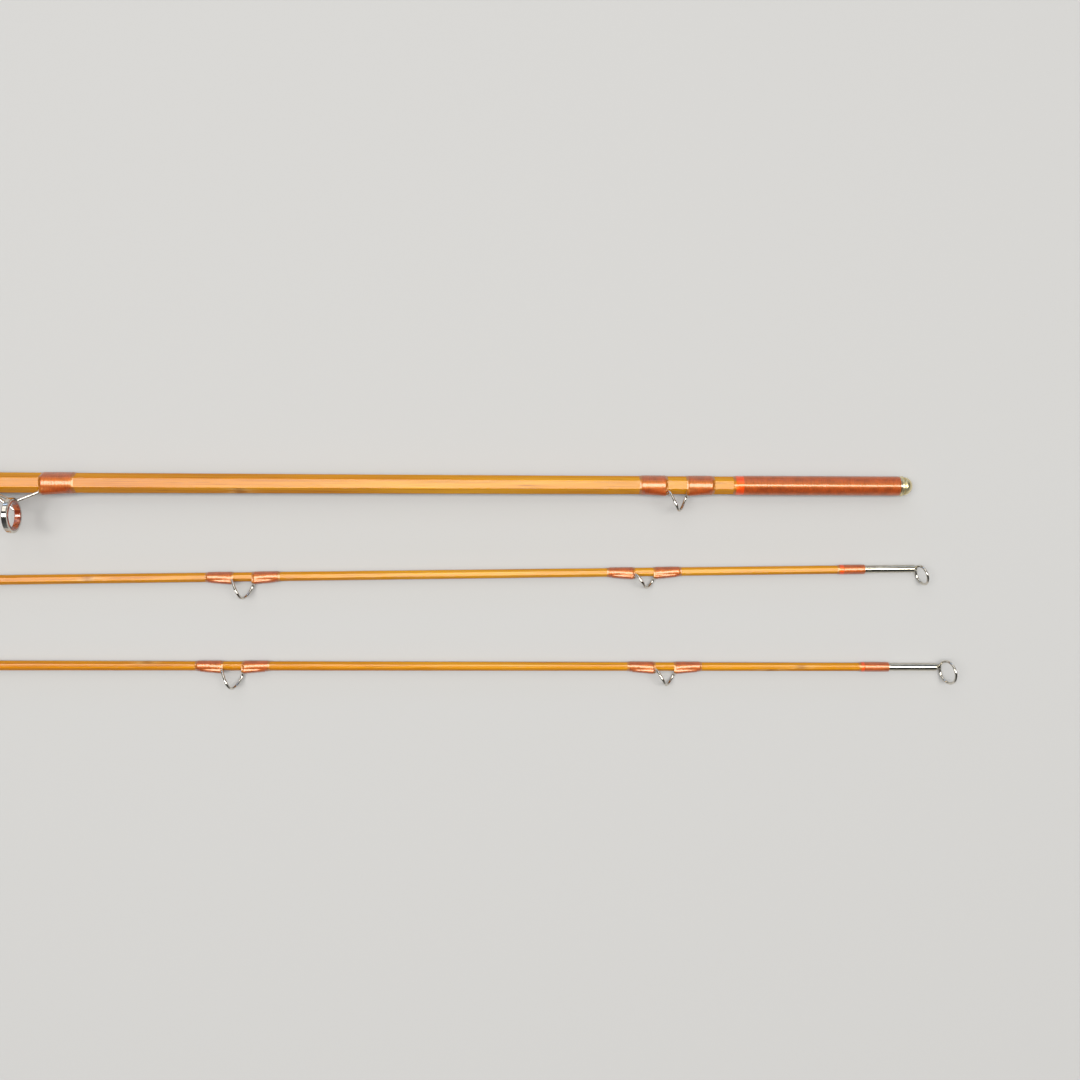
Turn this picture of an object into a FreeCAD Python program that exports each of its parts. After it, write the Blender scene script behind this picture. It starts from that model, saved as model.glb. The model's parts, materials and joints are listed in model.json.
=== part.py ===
"""Two-piece split-cane fly rod with a spare tip, taken down and laid out side by side on a table.

Millimetres, +Z up. +X runs along the rod, from the butt cap to the tip-tops. The origin is under the
middle of the three sections, on the table. Each section is modelled along its own +X axis, starting
at its thick end, and is then laid down by lay_down().
"""

import FreeCAD, Part
import math
import os

V = FreeCAD.Vector
X_AXIS = V(1, 0, 0)
Y_AXIS = V(0, 1, 0)
Z_AXIS = V(0, 0, 1)

# ---- whole rod -------------------------------------------------------------------------------
SECTION = 1080.0  # every section, thick end to ferrule mouth or to the end of the tip-top tube
GUIDE_ROLL = 60.0  # turns a guide from straight up to the flat 30 degrees above the -Y side
THREAD = 0.16  # thickness of a varnished thread wrap
GLUE = 0.02  # gap left for glue between bonded pieces
WRAP_GAP = 0.1  # between neighbouring thread wraps, or a wrap and the fitting beside it

# ---- cane tapers: (distance from the thick end, width across the flats) -----------------------
BUTT_TAPER = ((12.0, 7.5), (250.0, 7.25), (824.0, 5.6), (1030.0, 5.0), (1052.0, 5.0))
TIP_TAPER = ((2.0, 4.8), (47.0, 4.8), (480.0, 3.6), (811.0, 2.7), (1064.0, 2.35), (1078.0, 2.35))

# ---- ferrule ----------------------------------------------------------------------------------
BORE_R = 2.58  # female bore
SLIDE_R = 2.565  # male slide, a running fit in that bore
BARREL_R = 2.95  # outside of both barrels
CANE_END_R = 2.45  # cane turned round for the female barrel
CANE_SLIDE_R = 2.2  # cane turned round for the male ferrule
FEMALE_LENGTH = 50.0
SOCKET_DEPTH = 26.0
WATER_PLUG = 2.0
MALE_SLIDE = 26.0
MALE_LENGTH = 47.0
FERRULE_WRAP = (0.6, 0.4)  # long wrap: short of the female ferrule's rear end, and of its mouth
FERRULE_TRIM = (2.7, 0.3)  # trim wrap: where it starts and ends behind the female ferrule
MALE_WRAP = 13.9
MALE_TRIM = 1.5

# ---- ferrule plug -----------------------------------------------------------------------------
PLUG_STEM_R = 2.54
PLUG_STEM = 22.0
PLUG_FLANGE_R = 3.2
PLUG_FLANGE = 1.0
PLUG_NECK_R = 2.5
PLUG_NECK = 0.4
PLUG_HEAD_R = 2.85
PLUG_HEAD = 2.6

# ---- reel seat, up-locking --------------------------------------------------------------------
SEAT_R = 8.2  # wood spacer and thread crests
SEAT_BORE_R = 8.27  # hoods and nut run on the seat
CAP_R = 9.0
CAP_LENGTH = 9.0
CAP_WALL = 3.0
BARREL_END = 38.0  # end of the threaded barrel
BARREL_BORE_R = 7.3
THREAD_PITCH = 1.27
THREAD_DEPTH = 0.45
NUT_START = 14.0
NUT_LENGTH = 6.0
NUT_R = 9.9
NUT_RIBS = 36
HOOD_START = 20.2
HOOD_LENGTH = 14.0
HOOD_R = 9.2
POCKET_R = 6.6  # round roof of the pocket that takes the end of a reel foot
POCKET_RISE = 4.4  # height of that roof's axis above the rod axis
POCKET_WALL = 0.9
FRONT_HOOD_START = 98.0
FRONT_HOOD_LENGTH = 10.0
FRONT_HOOD_R = 11.6
FOOT_FLAT = 7.5  # height of the flat bed for the reel foot above the rod axis
CANE_BORE_R = 4.42  # bore of spacer, cork and hood around the cane

# ---- grip -------------------------------------------------------------------------------------
CORK_RING = 12.7
CORK_RINGS = 13
GRIP_START = 103.0
GRIP_END = GRIP_START + CORK_RING * CORK_RINGS
GRIP_OUTLINE = ((0.0, 12.4), (0.16, 12.9), (0.42, 13.0), (0.74, 10.6), (0.93, 8.3), (1.0, 7.4))
CHECK_LENGTH = 3.0
CHECK_R = 7.2
CHECK_WRAP = 6.9

# ---- guides -----------------------------------------------------------------------------------
WIRE_R = 0.42
SNAKE_FOOT_LENGTH = 6.7
FOOT_GAP = 0.03
FOOT_SINK = 0.25  # lets the space for a foot reach down into the cane
FOOT_CREST = 0.75  # width of a foot's top, as a share of its base
SNAKE_FOOT = ((1.15, 0.88), (1.35, 0.2))  # width and height at the leg, then at the toe
SNAKE_SPREAD = 3.3  # half the distance between the legs
SNAKE_BULGE = 2.45  # how far the wire swings to each side
# powers of a turn's sine and cosine that shape the loop: how the legs lean, how square its sides
# stand, and how sharply it peaks
SNAKE_LEAN = 1.2
SNAKE_SIDES = 0.85
SNAKE_PEAK = 2.8
SNAKE_TURNS = (18, 40, 65, 90, 115, 145, 180, 215, 245, 270, 295, 320, 342)  # degrees round the loop
SNAKE_LEAD_IN = ((0.25, 0.0), (-0.1, 0.1))  # the wire before its turn: outwards of the foot, and aside
SNAKE_FOOT_START = 3.7  # from the guide's centre
SNAKE_WRAP_INNER = 3.75
SNAKE_WRAP_OUTER = 11.2
# tip guides: distance behind the end of the tip-top tube, half the height of the loop
REAR_GUIDES = ((370.0, 2.95), (535.0, 3.0), (720.0, 3.05), (925.0, 3.1))
TIP_GUIDES = {
    "tip_1": ((87.2, 1.8), (216.2, 2.85)) + REAR_GUIDES,
    "tip_2": ((87.8, 2.25), (226.7, 2.95)) + REAR_GUIDES,
}
BUTT_GUIDE_X = 1008.5
BUTT_GUIDE_RISE = 3.1

# ---- stripping guide --------------------------------------------------------------------------
STRIPPER_X = 799.6
STRIPPER_RISE = 9.4  # ring centre above the cane's flat
STRIPPER_BORE_R = 4.0
STRIPPER_INSERT_R = 4.8
STRIPPER_BEZEL_R = 5.6
STRIPPER_WIDTH = 1.7
STRIPPER_LEGS = (-9.0, 7.0)  # where the rear pair of legs and the front leg land
STRIPPER_LEG_LEAN = 40.0  # degrees below level where the rear legs meet the bezel
STRIPPER_LEG_ASIDE = 0.3  # of the rear legs where they land
STRIPPER_OVERLAP = 0.4  # of a leg's end and its foot
STRIPPER_WRAP = (0.6, 10.0)  # a wrap's start and end, out from where the leg lands
STRIPPER_FOOT_LENGTH = 9.0
STRIPPER_FOOT = ((1.6, 1.04), (1.8, 0.25))
STRIPPER_WIRE_R = 0.5

# ---- hook keeper ------------------------------------------------------------------------------
KEEPER_X = 291.0
KEEPER_R = 2.2
KEEPER_WIRE_R = 0.4
KEEPER_FOOT_LENGTH = 5.0
KEEPER_BEND = 0.9  # from the loop's side to where the wire lies level
KEEPER_FOOT_START = 1.3  # from the loop's side
KEEPER_WIRE_END = 1.5
KEEPER_WRAP = (1.4, 7.4)
KEEPER_FOOT = ((1.1, 0.84), (1.2, 0.2))

# ---- tip-top ----------------------------------------------------------------------------------
TOP_TUBE_R = 1.2
TOP_TUBE_BORE_R = 1.0
TOP_TUBE = {"tip_1": 16.2, "tip_2": 15.6}
TOP_WRAP = {"tip_1": 6.6, "tip_2": 7.7}
TOP_TRIM = {"tip_1": 1.3, "tip_2": 1.0}
TOP_RING_R = {"tip_1": 3.05, "tip_2": 3.6}  # to the middle of the wire
TOP_RING_DROP = 0.1  # of the wire where it meets the tube, below the rod axis
TOP_TONGUE = {"tip_1": 0.45, "tip_2": 1.05}  # from the end of the tube to the ring
TOP_TONGUE_ROOT = (0.6, 0.95)  # distance inside the end of the tube, and radius
TOP_TONGUE_END_R = 0.7
TOP_RING_LEAN = {"tip_1": 23.0, "tip_2": 24.5}  # degrees forward from square to the rod
TOP_ROLL = {"tip_1": 48.5, "tip_2": 26.0}  # degrees from upright, towards the guides' side

# ---- how the sections lie ---------------------------------------------------------------------
BUTT_BEHIND = 12.7  # ferrule mouth behind the end of tip 2's tube
TIP_1_BEHIND = 7.2
BUTT_ASIDE = 58.2  # from tip 2's axis, at the tip-top end
TIP_1_ASIDE = 31.7
YAW = {"butt": -0.2, "tip_1": 0.7, "tip_2": -0.1}


# ---- small helpers ----------------------------------------------------------------------------
def cylinder(radius, start, end):
    return Part.makeCylinder(radius, end - start, V(start, 0, 0), X_AXIS)


def tube(outer, inner, start, end):
    return cylinder(outer, start, end).cut(cylinder(inner, start - 1, end + 1))


def turned(outline):
    """A solid of revolution about the rod axis from (x, radius) points, closed in order."""
    points = [V(x, 0, r) for x, r in outline]
    face = Part.Face(Part.makePolygon(points + points[:1]))
    return face.revolve(V(0, 0, 0), X_AXIS, 360)


def width_at(taper, x):
    """Width across the flats at a place along the cane."""
    for (x0, w0), (x1, w1) in zip(taper, taper[1:]):
        if x <= x1:
            return w0 + (w1 - w0) * (x - x0) / (x1 - x0)
    return taper[-1][1]


def hexagon(x, apothem):
    """Corner points of the cane's hexagon, one flat up."""
    reach = apothem / math.cos(math.pi / 6)
    angles = [math.radians(60 * k) for k in range(6)]
    return [V(x, reach * math.cos(a), reach * math.sin(a)) for a in angles]


def hex_body(taper, start, end, grow=0.0):
    """A tapering hexagonal bar along a straight stretch of the taper."""
    wires = []
    for x in (start, end):
        points = hexagon(x, width_at(taper, x) / 2 + grow)
        wires.append(Part.makePolygon(points + points[:1]))
    return Part.makeLoft(wires, True, True)


def cane_strips(taper, hex_end, end_radius, other_end=None):
    """Six glued strips of cane, each a long wedge, turned round where they enter a fitting."""
    low, high = taper[0][0], taper[-1][0]
    envelope = cylinder(20, low - 1, high + 1)
    ends = [(hex_end, end_radius)] + ([other_end] if other_end else [])
    for place, radius in ends:
        start, stop = (place, high + 2) if place > (low + high) / 2 else (low - 2, place)
        envelope = envelope.cut(tube(21, radius, start, stop))
    strips = []
    for k in range(6):
        wires = []
        for x, width in taper:
            corners = hexagon(x, width / 2)
            wedge = [V(x, 0, 0), corners[k], corners[(k + 1) % 6]]
            wires.append(Part.makePolygon(wedge + wedge[:1]))
        strips.append(Part.makeLoft(wires, True, True).common(envelope))
    return Part.makeCompound(strips)


def on_flat(shape, taper, x):
    """Stands a guide, built on z = 0, on the cane's guide flat at x."""
    stood = shape.copy()
    stood.translate(V(x, 0, width_at(taper, x) / 2))
    stood.rotate(V(0, 0, 0), X_AXIS, GUIDE_ROLL)
    return stood


def foot(start, length, direction, sizes, grow=0.0):
    """A guide's flattened foot, from its leg out to a thin toe: (width, height) at each end."""
    wires = []
    for k, (width, height) in enumerate(sizes):
        x = start + direction * length * k
        half = width / 2 + grow
        crest = width * FOOT_CREST / 2 + grow
        high = FOOT_GAP + height + grow
        ring = [V(x, half, FOOT_GAP), V(x, crest, high), V(x, -crest, high), V(x, -half, FOOT_GAP)]
        if grow:
            ring += [V(x, -half, FOOT_GAP - FOOT_SINK), V(x, half, FOOT_GAP - FOOT_SINK)]
        wires.append(Part.makePolygon(ring + ring[:1]))
    return Part.makeLoft(wires, True, True)


def wrap(taper, start, end, feet=()):
    """A thread wrap round the cane. Each foot is (guide x, leg x, length, direction, sizes)."""
    half = width_at(taper, (start + end) / 2) / 2
    corner = half / math.cos(math.pi / 6) + THREAD * 0.6
    sleeve = hex_body(taper, start, end, THREAD).common(cylinder(corner, start, end))
    cores = [hex_body(taper, start - 1, end + 1, GLUE / 2)]
    for guide_x, *shape in feet:
        over = on_flat(foot(*shape, grow=THREAD), taper, guide_x)
        sleeve = sleeve.fuse(over.common(cylinder(corner + 2, start, end)))
        cores.append(on_flat(foot(*shape, grow=GLUE / 4), taper, guide_x))
    for core in cores:
        sleeve = sleeve.cut(core)
    return sleeve


def swept(points, radius):
    """A round wire along a smooth curve through the points."""
    curve = Part.BSplineCurve()
    curve.interpolate(points)
    path = Part.Wire(curve.toShape())
    start = curve.parameter(points[0])
    circle = Part.Circle(points[0], curve.tangent(start)[0], radius)
    wire = Part.BRepOffsetAPI.MakePipeShell(path)
    wire.setFrenetMode(False)
    wire.add(Part.Wire(circle.toShape()))
    wire.build()
    wire.makeSolid()
    return wire.shape()


# ---- guides -----------------------------------------------------------------------------------
def snake_guide(rise):
    """One turn of wire between two feet, centred on x = 0 and standing on z = 0."""
    base = FOOT_GAP + WIRE_R
    points = [V(-SNAKE_FOOT_START - out, aside, base) for out, aside in SNAKE_LEAD_IN]
    for turn in SNAKE_TURNS:
        angle = math.radians(turn)
        half = math.cos(angle / 2)
        along = math.copysign(abs(half) ** SNAKE_LEAN, -half)
        aside = math.copysign(abs(math.sin(angle)) ** SNAKE_SIDES, math.sin(angle))
        height = 2 * rise * math.sin(angle / 2) ** SNAKE_PEAK
        points.append(V(SNAKE_SPREAD * along, SNAKE_BULGE * aside, base + height))
    points += [V(SNAKE_FOOT_START + out, -aside, base) for out, aside in reversed(SNAKE_LEAD_IN)]
    guide = swept(points, WIRE_R)
    for side in (-1, 1):
        guide = guide.fuse(foot(side * SNAKE_FOOT_START, SNAKE_FOOT_LENGTH, side, SNAKE_FOOT))
    return guide.removeSplitter()


def stripping_frame():
    """Bezel, three legs and two feet of the stripping guide, in one piece."""
    bezel = tube(STRIPPER_BEZEL_R, STRIPPER_INSERT_R, -STRIPPER_WIDTH / 2, STRIPPER_WIDTH / 2)
    bezel = bezel.makeFillet(0.35, [e for e in bezel.Edges if e.Length > 30 and
                                    abs(e.BoundBox.YMax - STRIPPER_BEZEL_R) < 0.1])
    bezel.translate(V(0, 0, STRIPPER_RISE))
    rear, front = STRIPPER_LEGS
    base = FOOT_GAP + STRIPPER_WIRE_R
    ring_r = (STRIPPER_BEZEL_R + STRIPPER_INSERT_R) / 2
    lean = math.radians(STRIPPER_LEG_LEAN)
    legs = [(V(0, side * ring_r * math.cos(lean), STRIPPER_RISE - ring_r * math.sin(lean)),
             V(rear, side * STRIPPER_LEG_ASIDE, base)) for side in (-1, 1)]
    legs.append((V(0, 0, STRIPPER_RISE - ring_r), V(front, 0, base)))
    frame = bezel
    for top, bottom in legs:
        along = top - bottom
        frame = frame.fuse(Part.makeCylinder(STRIPPER_WIRE_R, along.Length, bottom, along))
        frame = frame.fuse(Part.makeSphere(STRIPPER_WIRE_R, bottom))
    for place, side in ((rear, -1), (front, 1)):
        start = place - side * STRIPPER_OVERLAP
        frame = frame.fuse(foot(start, STRIPPER_FOOT_LENGTH, side, STRIPPER_FOOT))
    ring_space = cylinder(STRIPPER_INSERT_R, -STRIPPER_WIDTH, STRIPPER_WIDTH)
    ring_space.translate(V(0, 0, STRIPPER_RISE))
    return frame.cut(ring_space).removeSplitter()


def stripping_ring():
    half = STRIPPER_WIDTH / 2 + 0.15
    ring = tube(STRIPPER_INSERT_R - GLUE, STRIPPER_BORE_R, -half, half)
    ring = ring.makeFillet(0.3, [e for e in ring.Edges if e.Length > 20])
    ring.translate(V(0, 0, STRIPPER_RISE))
    return ring


def keeper():
    """Small wire loop that holds the fly, between two feet."""
    base = FOOT_GAP + KEEPER_WIRE_R
    top = base + 2 * KEEPER_R
    half = [(KEEPER_R + KEEPER_WIRE_END, base), (KEEPER_R + KEEPER_BEND, base + 0.1),
            (KEEPER_R, base + KEEPER_R)]
    points = [V(-x, 0, z) for x, z in half] + [V(0, 0, top)] + [V(x, 0, z) for x, z in reversed(half)]
    loop = swept(points, KEEPER_WIRE_R)
    for side in (-1, 1):
        start = side * (KEEPER_R + KEEPER_FOOT_START)
        loop = loop.fuse(foot(start, KEEPER_FOOT_LENGTH, side, KEEPER_FOOT))
    return loop.removeSplitter()


# ---- butt section -----------------------------------------------------------------------------
def threaded_barrel():
    """Seat barrel with its thread drawn as closed grooves of the same pitch."""
    outline = [(CAP_WALL, BARREL_BORE_R), (CAP_WALL, SEAT_R)]
    x = CAP_LENGTH + 1.0
    while x + THREAD_PITCH < BARREL_END - 0.5:
        outline += [(x, SEAT_R), (x + THREAD_PITCH / 2, SEAT_R - THREAD_DEPTH)]
        x += THREAD_PITCH
    outline += [(x, SEAT_R), (BARREL_END, SEAT_R), (BARREL_END, BARREL_BORE_R)]
    return turned(outline)


def spacer():
    """Wood body of the reel seat, with a flat bed for the reel foot."""
    front = FRONT_HOOD_START + FRONT_HOOD_LENGTH - 2.0
    body = turned([(CAP_WALL, CANE_BORE_R), (CAP_WALL, BARREL_BORE_R - GLUE),
                   (BARREL_END + GLUE, BARREL_BORE_R - GLUE), (BARREL_END + GLUE, SEAT_R),
                   (front, SEAT_R), (front, CANE_BORE_R)])
    bed = Part.makeBox(front, 2 * SEAT_R, SEAT_R, V(BARREL_END + 1, -SEAT_R, FOOT_FLAT))
    bed.rotate(V(0, 0, 0), X_AXIS, GUIDE_ROLL)
    return body.cut(bed)


def pocket(start, end, rise, radius):
    shape = Part.makeCylinder(radius, end - start, V(start, 0, rise), X_AXIS)
    shape.rotate(V(0, 0, 0), X_AXIS, GUIDE_ROLL)
    return shape


def sliding_hood():
    """Hood that slides up the seat and traps the rear end of the reel foot."""
    start, end = HOOD_START, HOOD_START + HOOD_LENGTH
    sleeve = turned([(start, 0), (start, HOOD_R - 0.4), (start + 0.4, HOOD_R), (end - 0.4, HOOD_R),
                     (end, HOOD_R - 0.4), (end, 0)])
    hood = sleeve.fuse(pocket(start + 1.0, end, POCKET_RISE, POCKET_R + POCKET_WALL))
    hood = hood.cut(pocket(start + 2.2, end + 1, POCKET_RISE, POCKET_R))
    return hood.cut(cylinder(SEAT_BORE_R, start - 1, end + 1)).removeSplitter()


def front_hood():
    """Fixed hood, let into the end of the grip."""
    start, end = FRONT_HOOD_START, FRONT_HOOD_START + FRONT_HOOD_LENGTH
    wall = end - 2.0
    cup = turned([(start, SEAT_BORE_R), (start, FRONT_HOOD_R - 0.5), (start + 0.5, FRONT_HOOD_R),
                  (end, FRONT_HOOD_R), (end, CANE_BORE_R), (wall + GLUE, CANE_BORE_R),
                  (wall + GLUE, SEAT_BORE_R)])
    roof = FRONT_HOOD_R - POCKET_WALL - POCKET_R
    return cup.cut(pocket(start - 1, wall, roof, POCKET_R))


def lock_nut():
    """Ribbed nut that drives the sliding hood."""
    points = []
    for k in range(NUT_RIBS * 2):
        angle = math.pi * k / NUT_RIBS
        radius = NUT_R if k % 2 else NUT_R - 0.35
        points.append(V(NUT_START, radius * math.cos(angle), radius * math.sin(angle)))
    ribbed = Part.Face(Part.makePolygon(points + points[:1])).extrude(V(NUT_LENGTH, 0, 0))
    end = NUT_START + NUT_LENGTH
    bevel, crown = 0.7, NUT_R + 0.1
    envelope = turned([(NUT_START, SEAT_BORE_R), (NUT_START, NUT_R - bevel), (NUT_START + bevel, crown),
                       (end - bevel, crown), (end, NUT_R - bevel), (end, SEAT_BORE_R)])
    return ribbed.common(envelope)


def butt_cap():
    """Turned cap with a rounded rim and a groove near its open end."""
    end, groove_r = CAP_LENGTH, CAP_R - 0.3
    return turned([(0, 0), (0, CAP_R - 1.2), (0.35, CAP_R - 0.5), (1.2, CAP_R),
                   (end - 1.6, CAP_R), (end - 1.2, groove_r), (end - 0.8, groove_r), (end - 0.4, CAP_R),
                   (end, CAP_R - 0.2), (end, SEAT_R + GLUE), (CAP_WALL - GLUE, SEAT_R + GLUE),
                   (CAP_WALL - GLUE, 0)])


def grip_rings():
    """Cork rings glued face to face, shaped together."""
    length = GRIP_END - GRIP_START
    outline = Part.BSplineCurve()
    outline.interpolate([V(GRIP_START + share * length, 0, r) for share, r in GRIP_OUTLINE])
    first, last = outline.StartPoint, outline.EndPoint
    inner = [V(last.x, 0, CANE_BORE_R), V(first.x, 0, CANE_BORE_R)]
    corners = [last] + inner + [first]
    sides = [Part.makeLine(a, b) for a, b in zip(corners, corners[1:])]
    profile = Part.Face(Part.Wire([outline.toShape()] + sides))
    grip = profile.revolve(V(0, 0, 0), X_AXIS, 360)
    hood_end = FRONT_HOOD_START + FRONT_HOOD_LENGTH + GLUE
    grip = grip.cut(cylinder(FRONT_HOOD_R + GLUE, GRIP_START - 1, hood_end))
    rings = []
    for k in range(CORK_RINGS):
        start = GRIP_START + k * CORK_RING
        rings.append(grip.common(cylinder(30, start, start + CORK_RING)))
    return Part.makeCompound(rings)


def winding_check():
    """Turned collar that closes the front of the grip."""
    start, end = GRIP_END, GRIP_END + CHECK_LENGTH
    bore = width_at(BUTT_TAPER, start) / 2 / math.cos(math.pi / 6) + GLUE
    return turned([(start, bore), (start, CHECK_R), (start + 0.8, CHECK_R), (start + 1.4, CHECK_R - 0.8),
                   (end - 0.4, bore + 0.9), (end, bore + 0.6), (end, bore)])


def female_ferrule():
    """Tube over the end of the cane, thinned at its rear end, with a wider bore for the male slide."""
    start, mouth = SECTION - FEMALE_LENGTH, SECTION
    floor = mouth - SOCKET_DEPTH
    return turned([(start, CANE_END_R + GLUE), (start, BARREL_R - 0.25), (start + 2, BARREL_R),
                   (mouth, BARREL_R), (mouth, BORE_R), (floor, BORE_R), (floor, CANE_END_R + GLUE)])


def ferrule_plug():
    """Turned plug that keeps dirt out of the socket: stem, flange, neck and domed head."""
    mouth = SECTION + GLUE
    flange = mouth + PLUG_FLANGE
    neck = flange + PLUG_NECK
    stem = turned([(mouth - PLUG_STEM, 0), (mouth - PLUG_STEM, PLUG_STEM_R - 0.6),
                   (mouth - PLUG_STEM + 0.8, PLUG_STEM_R), (mouth, PLUG_STEM_R),
                   (mouth, PLUG_FLANGE_R - 0.2), (mouth + 0.2, PLUG_FLANGE_R),
                   (flange - 0.25, PLUG_FLANGE_R), (flange, PLUG_FLANGE_R - 0.25),
                   (flange, PLUG_NECK_R), (neck, PLUG_NECK_R), (neck, PLUG_HEAD_R),
                   (neck + 0.5, PLUG_HEAD_R), (neck + 0.5, 0)])
    rise = PLUG_HEAD - 0.5
    ball_r = (PLUG_HEAD_R ** 2 + rise ** 2) / (2 * rise)
    ball = Part.makeSphere(ball_r, V(neck + PLUG_HEAD - ball_r, 0, 0))
    dome = ball.common(cylinder(PLUG_HEAD_R + 1, neck + 0.5, neck + PLUG_HEAD + 1))
    return stem.fuse(dome).removeSplitter()


def guide_wraps(taper, guide_x, legs, inner, outer, length, sizes):
    """The two wraps over a guide's feet. Legs, inner and outer are (rear, front) from its centre."""
    wraps = []
    for side, leg, near, far in zip((-1, 1), legs, inner, outer):
        start, end = sorted((guide_x + near, guide_x + far))
        wraps.append(wrap(taper, start, end, [(guide_x, leg, length, side, sizes)]))
    return wraps


def both(distance):
    """The same distance to the rear and to the front."""
    return -distance, distance


def snake_wraps(taper, guide_x):
    return guide_wraps(taper, guide_x, both(SNAKE_FOOT_START), both(SNAKE_WRAP_INNER),
                       both(SNAKE_WRAP_OUTER), SNAKE_FOOT_LENGTH, SNAKE_FOOT)


def butt_nodes():
    taper = BUTT_TAPER
    rear, front = STRIPPER_LEGS
    near, far = STRIPPER_WRAP
    stripper_wraps = guide_wraps(
        taper, STRIPPER_X, (rear + STRIPPER_OVERLAP, front - STRIPPER_OVERLAP),
        (rear - near, front + near), (rear - far, front + far), STRIPPER_FOOT_LENGTH, STRIPPER_FOOT)
    near, far = KEEPER_WRAP
    keeper_wraps = guide_wraps(
        taper, KEEPER_X, both(KEEPER_R + KEEPER_FOOT_START), both(KEEPER_R + near),
        both(KEEPER_R + far), KEEPER_FOOT_LENGTH, KEEPER_FOOT)
    ferrule_start = SECTION - FEMALE_LENGTH
    long_wrap = (ferrule_start + FERRULE_WRAP[0], SECTION - FERRULE_WRAP[1])
    trim_start, trim_end = (ferrule_start - behind for behind in FERRULE_TRIM)
    socket_floor = SECTION - SOCKET_DEPTH
    check_wrap = GRIP_END + CHECK_LENGTH + WRAP_GAP
    return {
        "butt_cane_strips": cane_strips(taper, ferrule_start, CANE_END_R),
        "butt_cap": butt_cap(),
        "seat_threaded_barrel": threaded_barrel(),
        "seat_wood_spacer": spacer(),
        "seat_front_hood": front_hood(),
        "grip_cork_rings": grip_rings(),
        "winding_check": winding_check(),
        "check_thread_wrap": wrap(taper, check_wrap, check_wrap + CHECK_WRAP),
        "hook_keeper": on_flat(keeper(), taper, KEEPER_X),
        "hook_keeper_wraps": Part.makeCompound(keeper_wraps),
        "stripping_guide_frame": on_flat(stripping_frame(), taper, STRIPPER_X),
        "stripping_guide_ring": on_flat(stripping_ring(), taper, STRIPPER_X),
        "stripping_guide_wraps": Part.makeCompound(stripper_wraps),
        "butt_snake_guide": on_flat(snake_guide(BUTT_GUIDE_RISE), taper, BUTT_GUIDE_X),
        "butt_snake_guide_wraps": Part.makeCompound(snake_wraps(taper, BUTT_GUIDE_X)),
        "female_ferrule": female_ferrule(),
        "ferrule_water_plug": cylinder(CANE_END_R - GLUE, socket_floor - WATER_PLUG, socket_floor),
        "female_ferrule_wrap": tube(BARREL_R + THREAD, BARREL_R + GLUE / 2, *long_wrap),
        "ferrule_trim_wrap": wrap(taper, trim_start, trim_end),
        "seat_sliding_hood": sliding_hood(),
        "seat_lock_nut": lock_nut(),
        "ferrule_plug": ferrule_plug(),
    }


# ---- tip sections -----------------------------------------------------------------------------
def male_ferrule():
    """Closed slide that fits the female bore, with a wider shoulder behind it."""
    return turned([(0, 0), (0, SLIDE_R - 0.4), (0.5, SLIDE_R), (MALE_SLIDE, SLIDE_R),
                   (MALE_SLIDE + 0.8, BARREL_R), (MALE_LENGTH - 2.5, BARREL_R),
                   (MALE_LENGTH, BARREL_R - 0.3), (MALE_LENGTH, CANE_SLIDE_R + GLUE),
                   (2.0 - GLUE, CANE_SLIDE_R + GLUE), (2.0 - GLUE, 0)])


def top_ring(name):
    """Wire ring of the tip-top, leaning forward and standing off to the guides' side."""
    radius = TOP_RING_R[name]
    lean = math.radians(TOP_RING_LEAN[name])
    root = SECTION + TOP_TONGUE[name]
    centre = V(root + radius * math.sin(lean), 0, radius * math.cos(lean) - TOP_RING_DROP)
    ring = Part.makeTorus(radius, WIRE_R, V(0, 0, 0), X_AXIS)
    ring.rotate(V(0, 0, 0), Y_AXIS, TOP_RING_LEAN[name])
    ring.translate(centre)
    return ring


def top_tube(name):
    """Tube that the cane is glued into, drawn down at its end to a tongue that holds the ring."""
    start = SECTION - TOP_TUBE[name]
    shell = turned([(start, TOP_TUBE_BORE_R), (start, TOP_TUBE_R - 0.08), (start + 0.3, TOP_TUBE_R),
                    (SECTION - 0.4, TOP_TUBE_R), (SECTION, TOP_TUBE_R - 0.3), (SECTION, 0),
                    (SECTION - 1.2, 0), (SECTION - 1.2, TOP_TUBE_BORE_R)])
    inside, root_r = TOP_TONGUE_ROOT
    root = V(SECTION - inside, 0, 0)
    along = V(SECTION + TOP_TONGUE[name], 0, -TOP_RING_DROP) - root
    tongue = Part.makeCone(root_r, TOP_TONGUE_END_R, along.Length, root, along)
    return shell.fuse(tongue).cut(top_ring(name)).removeSplitter()


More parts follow.
